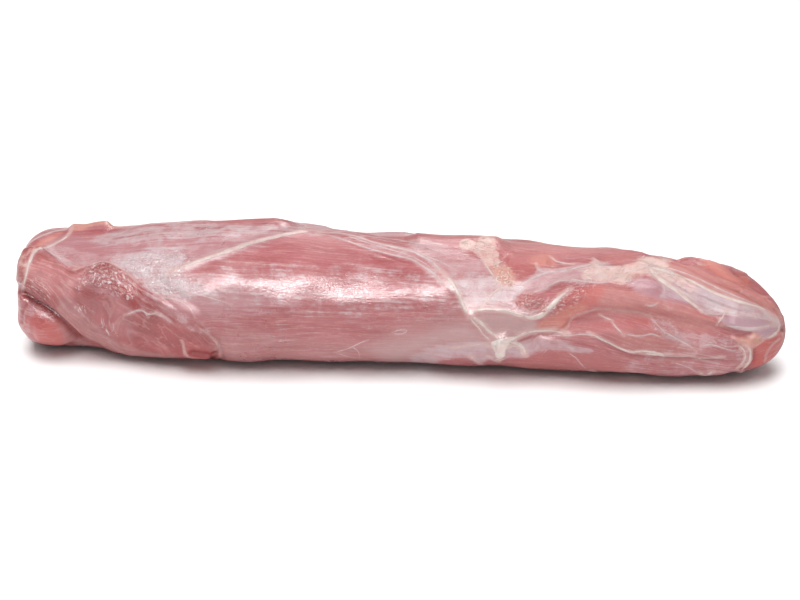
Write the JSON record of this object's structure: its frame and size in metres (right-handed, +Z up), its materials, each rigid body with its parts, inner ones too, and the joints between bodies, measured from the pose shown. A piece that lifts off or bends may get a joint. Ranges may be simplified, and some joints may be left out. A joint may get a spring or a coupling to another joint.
{
  "type": "raw pork tenderloin",
  "caption": "Whole trimmed raw pork tenderloin lying on its flattened side, with a folded head flap, sinew bands and fat, tapering to a rounded tail.",
  "frame": {"origin": "on the floor under the middle of the meat's box", "axes": "+X runs along the meat from the blunt head to the tail, -Y is the side with the folded flap, +Z is up"},
  "size_m": [0.29, 0.062, 0.0504],
  "materials": {
    "raw_pork": "wet raw pork, pale pink muscle with white sinew"
  },
  "bodies": {
    "root": {"tenderloin": "raw_pork"}
  },
  "joints": []
}
